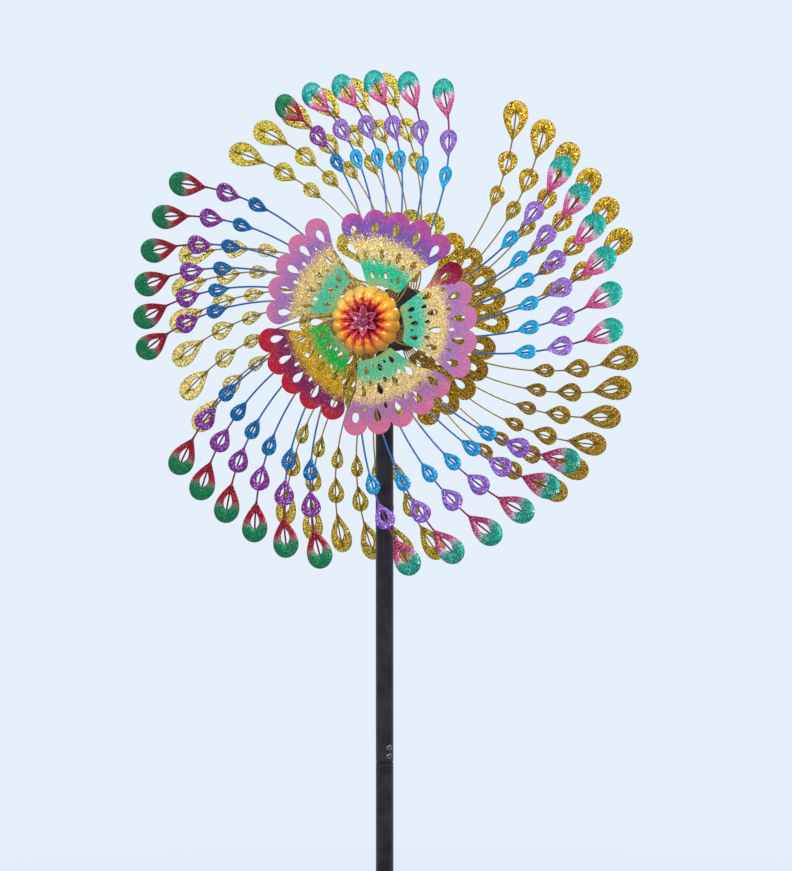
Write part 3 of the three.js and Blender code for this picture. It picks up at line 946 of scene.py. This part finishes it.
# The bands of a large drop from its point out, then the medium and the small drop's colours, in copies of one
# paint: the bright copy carries a painted sheen, the rich one less of it, and the deep one painted shade.
DROP_LIT_AND_SHADED_PAINTS = {
    "bright": ((0.64, 0.12, 0.36), (0.79, 0.34, 0.55), (0.78, 0.70, 0.75), (0.0, 0.62, 0.57),
               (0.56, 0.40, 0.75), (0.0, 0.58, 0.78)),
    "rich": ((0.52, 0.06, 0.25), (0.63, 0.20, 0.39), (0.64, 0.58, 0.62), (0.0, 0.50, 0.44),
             (0.49, 0.33, 0.69), (0.0, 0.49, 0.71)),
    "deep": ((0.48, 0.0, 0.13), (0.61, 0.02, 0.15), (0.50, 0.44, 0.42), (0.0, 0.44, 0.28),
             (0.49, 0.17, 0.54), (0.0, 0.36, 0.60)),
}
# Lighter and darker copies of the rear rotor's one gold paint, one for each blade: the pale ones carry a
# painted sheen and the darker ones painted shade.
GOLD_LIT_AND_SHADED_PAINTS = {"amber": (0.82, 0.64, 0.02), "brown": (0.72, 0.54, 0.01), "brass": (0.80, 0.66, 0.10),
                "straw": (0.84, 0.755, 0.25), "cream": (0.89, 0.80, 0.44)}
# Which copy each front blade's drops take: deep, with painted shade, on the left and lower left blades.
FRONT_DROPS = ["bright", "bright", "deep", "deep", "rich"]
ODD_WIRE = {("front", 1): 5}  # one wire whose drops take the deep copy, with its painted shade, in a bright blade
REAR_GOLDS = ["amber", "straw", "cream", "brass", "brown"]


def shades(colour):
    """Stops that let a colour drift a little either way."""
    return [(0.3, tuple(c * 0.86 for c in colour)), (0.7, tuple(min(1, c * 1.14) for c in colour))]


def painted(name, colour, spread, roughness, metallic, scale=140, bump=0.06, coat=0.0, specular=0.5):
    """Sprayed or cast metal: the colour drifts, and a fine grain roughens it."""
    material, tree, shader, coords = new_material(name)
    cloud = noise(tree, coords, scale, 6)
    grain = noise(tree, coords, scale * 14, 3)
    darker = tuple(c * (1 - spread) for c in colour)
    lighter = tuple(min(1, c * (1 + spread) + 0.01) for c in colour)
    low, high = roughness
    fill(tree, shader, {
        "Base Color": ramp(tree, cloud, [(0.35, darker), (0.65, lighter)]),
        "Roughness": ramp(tree, grain, [(0.3, low), (0.7, high)]),
        "Normal": bumped(tree, grain, bump, 0.0004),
        "Metallic": metallic,
        "Specular IOR Level": specular,
        "Coat Weight": coat,
        "Coat Roughness": 0.15,
    })
    return material


TOWARDS_PAINTED_HIGHLIGHT = (-0.45, 0, 0.89)  # the way, from the hub, in which the flower's paint goes from painted shade at the lower right to a painted highlight at the upper left
WIRE_REACH = 310


def flower_paint(side, stops, valley_shade_colour):
    """The dish's paint goes from its middle to its rim. Painted shade darkens its valleys, blotches it and
    darkens its lower right, and a painted highlight lightens its upper left.
    """
    material, tree, shader, coords = new_material(f"{side}_flower_paint")
    cloud = noise(tree, coords, 220, 5)
    valley = attribute(tree, "valley")
    place = radius_over(side, DISH_RADIUS)(tree)
    place = math_node(tree, "ADD", place, math_node(tree, "MULTIPLY_ADD", cloud, 0.42, -0.21))
    # Painted shade in the valleys: their colour moves towards the middle's redder paint here, and is darkened
    # below.
    place = math_node(tree, "ADD", place, math_node(tree, "MULTIPLY", valley, -0.16))
    base = ramp(tree, place, stops)
    colour = mix(tree, math_node(tree, "MULTIPLY", valley, 0.55), base, valley_shade_colour, "MULTIPLY")
    flakes = add(tree, "TexVoronoi", {"Vector": coords, "Scale": 1300.0}).outputs["Color"]
    random = add(tree, "SeparateColor", {0: flakes}).outputs[0]
    dust = ramp(tree, random, [(0.0, 0.4), (0.45, 1.0)])
    dusted = mix(tree, 0.7, colour, mix(tree, 1.0, colour, dust, "MULTIPLY"))
    # Painted shade: blotches that darken the paint towards brown-orange, more towards the rim.
    blotch = ramp(tree, noise(tree, coords, 55, 6), [(0.45, 0.0), (0.66, 0.7)])
    shade_blotched = mix(tree, math_node(tree, "MULTIPLY", blotch, place), dusted, linear(0.62, 0.36, 0.02))
    # Painted shade towards the lower right, and a cream painted highlight towards the upper left, where the
    # light comes from.
    across = vector_node(tree, "DOT_PRODUCT", from_hub(tree, side), TOWARDS_PAINTED_HIGHLIGHT, "Value")
    height = math_node(tree, "MULTIPLY_ADD", across, 12.0, cloud)
    painted_shade = ramp(tree, height, [(0.1, (0.74, 0.50, 0.34)), (0.5, (1.0, 1.0, 1.0))])
    with_painted_shade = mix(tree, 1.0, shade_blotched, painted_shade, "MULTIPLY")
    painted_highlight = math_node(tree, "MULTIPLY", ramp(tree, height, [(0.70, 0.0), (1.0, 0.6)]), place)
    fill(tree, shader, {
        "Base Color": mix(tree, painted_highlight, with_painted_shade, linear(0.99, 0.86, 0.52)),
        "Roughness": ramp(tree, cloud, [(0.3, 0.26), (0.7, 0.44)]),
        "Normal": bumped(tree, cloud, 0.25, 0.0008),
        "Metallic": 0.25,
        "Coat Weight": 0.3,
        "Coat Roughness": 0.2,
    })
    return material


def star_paint(side, low, high):
    """Gloss paint that is paler along the petals' raised edges and tips, as a painted highlight."""
    material, tree, shader, coords = new_material(f"{side}_star_paint")
    cloud = noise(tree, coords, 300, 5)
    drift = math_node(tree, "MULTIPLY_ADD", cloud, 0.5, -0.25)
    place = math_node(tree, "ADD", attribute(tree, "fold"), drift)
    fill(tree, shader, {
        "Base Color": ramp(tree, place, [(0.1, low), (0.6, high)]),
        "Roughness": ramp(tree, cloud, [(0.3, 0.16), (0.7, 0.32)]),
        "Metallic": 0.15,
        "Coat Weight": 0.6,
        "Coat Roughness": 0.1,
    })
    return material


def wire_paint(side, stops):
    material, tree, shader, coords = new_material(f"{side}_wire_paint")
    cloud = noise(tree, coords, 400, 3)
    drift = math_node(tree, "MULTIPLY_ADD", cloud, 0.05, -0.025)
    place = math_node(tree, "ADD", radius_over(side, WIRE_REACH)(tree), drift)
    fill(tree, shader, {
        "Base Color": ramp(tree, place, stops),
        "Roughness": ramp(tree, cloud, [(0.3, 0.3), (0.7, 0.5)]),
        "Metallic": 0.55,
    })
    return material


def lit_and_shaded_looks():
    """The glitter of every lit and shaded copy of the paint of the fan plates, drops and rear golds."""
    looks = {}
    sparkle = [(0.45, 0.35), (0.58, 0.9), (0.69, 0.8), (0.77, 0.25), (1.0, 0.15)]
    over_plate = radius_over("front", FAN_REACH)
    for batch, colours in FAN_LIT_AND_SHADED_PAINTS.items():
        inner, middle, band, lobe = (linear(*colour) for colour in colours)
        stops = [(0.33, FRINGE), (0.38, inner), (0.49, inner), (0.56, middle), (0.69, middle), (0.73, band),
                 (0.81, band), (0.90, lobe)]
        name = f"{batch}_fan_glitter"
        looks["fan_" + batch] = glitter(name, over_plate, stops, 0.075, sparkle, PALE_GOLD)
    for batch, colours in DROP_LIT_AND_SHADED_PAINTS.items():
        point, waist, seam, crown, medium, small = (linear(*colour) for colour in colours)
        stops = [(0.05, point), (0.38, waist), (0.46, waist), (0.56, seam), (0.64, crown)]
        paints = {
            # The deep copy's flakes are duller, as part of its painted shade.
            "large": (share_of_drop, stops, 0.12, 0.6, DULL if batch == "deep" else SILVER),
            "medium": (None, shades(medium), 0, 0.9, LILAC),
            "small": (None, shades(small), 0, 0.6, ICE),
        }
        for size, paint in paints.items():
            looks[f"{size}_{batch}"] = glitter(f"{batch}_{size}_glitter", *paint)
    for batch, colour in GOLD_LIT_AND_SHADED_PAINTS.items():
        stops = shades(linear(*colour))
        looks["gold_" + batch] = glitter(f"{batch}_gold_glitter", None, stops, 0, 1.0, PALE_GOLD, dark=0.02)
    return looks


def make_looks():
    brown, blue = linear(0.58, 0.43, 0.19), linear(0.12, 0.34, 0.62)
    front_wire = [(0.40, brown), (0.47, blue), (0.60, blue), (0.70, linear(0.30, 0.25, 0.58)),
                  (0.79, linear(0.40, 0.12, 0.34)), (0.90, linear(0.42, 0.05, 0.20))]
    rear_wire = [(0.0, brown), (0.4, linear(0.62, 0.52, 0.20)), (1.0, linear(0.46, 0.35, 0.12))]
    petals = [(0.12, linear(0.48, 0.01, 0.17)), (0.40, linear(0.70, 0.03, 0.16)),
              (0.51, linear(0.84, 0.17, 0.05)), (0.60, linear(0.94, 0.50, 0.02)),
              (0.76, linear(1.0, 0.77, 0.15)), (1.0, linear(0.93, 0.64, 0.05))]
    gold_petals = [(0.1, linear(0.5, 0.33, 0.05)), (0.5, AMBER), (0.9, GOLD)]
    magenta = linear(0.50, 0.10, 0.32)
    bronze = linear(0.09, 0.055, 0.10)
    return lit_and_shaded_looks() | {
        "front_wire": wire_paint("front", front_wire),
        "rear_wire": wire_paint("rear", rear_wire),
        "gold": glitter("hub_gold_glitter", None, [(0.3, AMBER), (0.7, GOLD)], 0, 1.0, PALE_GOLD, dark=0.22),
        "edge": painted("cut_edge", linear(0.34, 0.24, 0.16), 0.3, (0.35, 0.6), 0.6),
        "front_flower": flower_paint("front", petals, (0.75, 0.30, 0.12)),
        "rear_flower": flower_paint("rear", gold_petals, (0.45, 0.32, 0.10)),
        "front_star": star_paint("front", linear(0.58, 0.03, 0.18), linear(0.86, 0.38, 0.56)),
        "rear_star": star_paint("rear", linear(0.46, 0.28, 0.04), GOLD),
        "front_rivet": painted("front_rivet_paint", magenta, 0.3, (0.10, 0.22), 0.5, 300, 0.04, 1.0),
        "bronze": painted("bronze_powder_coat", bronze, 0.25, (0.28, 0.42), 0.1, 60, 0.10, 0.05, 0.25),
        "black": painted("black_paint", (0.006, 0.006, 0.008), 0.3, (0.35, 0.5), 0.0),
        "steel": painted("bearing_steel", (0.55, 0.56, 0.58), 0.1, (0.18, 0.3), 1.0),
        "zinc": painted("zinc_plate", (0.58, 0.60, 0.62), 0.15, (0.24, 0.42), 1.0, 220),
        "zinc_dark": painted("screw_zinc", (0.10, 0.095, 0.10), 0.3, (0.22, 0.36), 0.9, 400),
        "plastic": painted("cap_plastic", (0.012, 0.012, 0.014), 0.2, (0.5, 0.62), 0.0, 200, 0.2),
    }


# ---- camera, floor and light ----
CAMERA_TURN = 15.3  # degrees from the front towards +X
CAMERA_REACH, CAMERA_RISE = 3.18, 0.051  # metres from the pole, and above the rotors' axis
AIM_DROP, AIM_RIGHT = 0.143, 0.0141  # metres that it looks below the axis and right of the pole
VIEW_ANGLE = 19.12  # degrees from the top of the view to the bottom
SENSOR = 36
BACKDROP = linear(0.90, 0.94, 0.98)


def look_at(piece, place, target):
    piece.location = place
    piece.rotation_euler = (Vector(target) - Vector(place)).to_track_quat("-Z", "Y").to_euler()


def make_camera():
    turn = math.radians(CAMERA_TURN)
    right = Vector((math.cos(turn), math.sin(turn), 0))
    axis = Vector((0, 0, HUB["front"].z))
    away = Vector((math.sin(turn), -math.cos(turn), 0))
    place = axis + away * CAMERA_REACH + Vector((0, 0, CAMERA_RISE))
    camera = bpy.data.objects.new("Camera", bpy.data.cameras.new("Camera"))
    camera.data.sensor_width = SENSOR
    camera.data.lens = SENSOR / 2 / math.tan(math.radians(VIEW_ANGLE / 2))
    look_at(camera, place, axis + right * AIM_RIGHT - Vector((0, 0, AIM_DROP)))
    bpy.context.scene.collection.objects.link(camera)
    bpy.context.scene.camera = camera


def area_light(name, place, target, size, power, colour):
    light = bpy.data.lights.new(name, "AREA")
    light.shape = "DISK"
    light.size = size
    light.energy = power
    light.color = colour
    piece = bpy.data.objects.new(name, light)
    look_at(piece, place, target)
    bpy.context.scene.collection.objects.link(piece)


def make_studio():
    scene = bpy.context.scene
    scene.view_settings.view_transform = "Standard"
    world = bpy.data.worlds.new("Studio")
    scene.world = world
    world.use_nodes = True
    tree = world.node_tree
    direction = add(tree, "TexCoord").outputs["Generated"]
    height = add(tree, "SeparateXYZ", {0: direction}).outputs["Z"]
    rise = math_node(tree, "MULTIPLY_ADD", height, 0.5, 0.5)
    sky = ramp(tree, rise, [(0.0, (0.16, 0.17, 0.18)), (0.45, (0.34, 0.36, 0.38)),
                            (0.62, (0.80, 0.83, 0.86)), (1.0, (0.88, 0.89, 0.90))])
    seen = add(tree, "LightPath").outputs["Is Camera Ray"]
    fill(tree, tree.nodes["Background"], {"Color": mix(tree, seen, sky, BACKDROP), "Strength": 1.0})
    hub = (0, 0, HUB["front"].z)
    area_light("Key", (1.9, -2.4, 2.9), hub, 1.2, 68, (1.0, 0.98, 0.94))
    area_light("Fill", (-2.4, -1.6, 2.2), hub, 1.6, 22, (0.92, 0.96, 1.0))
    area_light("Back", (0.6, 2.6, 2.8), hub, 1.4, 50, (1.0, 1.0, 1.0))
    make_floor()


def make_floor():
    """A pale floor just under the points of the stake, which fades into the backdrop."""
    level = CAD_BOX[0][2] - 0.001
    reach = 30
    material, tree, shader, coords = new_material("floor_paint")
    away = vector_node(tree, "LENGTH", coords, output="Value")
    fade = ramp(tree, math_node(tree, "DIVIDE", away, reach), [(0.03, 0.0), (0.16, 1.0)], "EASE")
    fill(tree, shader, {"Base Color": (0.58, 0.63, 0.68, 1), "Roughness": 0.7, "Specular IOR Level": 0.1})
    haze = add(tree, "Emission", {"Color": (*BACKDROP, 1)})
    blend = add(tree, "MixShader", {0: fade, 1: shader.outputs[0], 2: haze.outputs[0]})
    fill(tree, tree.nodes["Material Output"], {"Surface": blend.outputs[0]})
    bm = bmesh.new()
    bmesh.ops.create_grid(bm, x_segments=1, y_segments=1, size=reach)
    floor = finish_mesh("floor", bm, [material])
    floor.location.z = level


def rotor(side, looks):
    body = f"{side}_rotor"
    for blade in range(BLADES):
        node = f"{side}_feathers_{blade + 1}"
        mount(wires(side, blade, looks[f"{side}_wire"]), body, f"{side}_feather_paint", node)
        gold = looks["gold_" + REAR_GOLDS[blade]]
        for size in DROPS:
            look = looks[f"{size}_{FRONT_DROPS[blade]}"] if side == "front" else gold
            edge = look if side == "front" else looks["edge"]
            odd = [looks[f"{size}_deep"]] if (side, blade) in ODD_WIRE else []
            mount(drops(side, blade, size, [look, edge, *odd]), body, f"{side}_feather_paint", node)
        fan_looks = [looks["fan_" + FRONT_FANS[blade]] if side == "front" else gold, looks["edge"]]
        # The first front plate's last lobe is bent back, and its crimson copy paints the shade that falls on
        # it.
        if (side, blade) == ("front", 0):
            fan_looks.append(looks["fan_crimson"])
        mount(fan(side, blade, fan_looks), body, f"{side}_fan_paint", f"{side}_fan_{blade + 1}")
    mount(dish(side, looks[f"{side}_flower"]), body, f"{side}_flower_paint", f"{side}_flower_dome")
    mount(star(side, looks[f"{side}_star"]), body, f"{side}_star_paint", f"{side}_flower_star")
    rivet(side, looks["front_rivet" if side == "front" else "rear_star"])
    for add_parts in (barrel_and_disc, bearings, axle_fittings, lock_nut):
        add_parts(side, looks)


make_camera()
make_studio()
LOOKS = make_looks()
stand(LOOKS)
rotor("front", LOOKS)
rotor("rear", LOOKS)
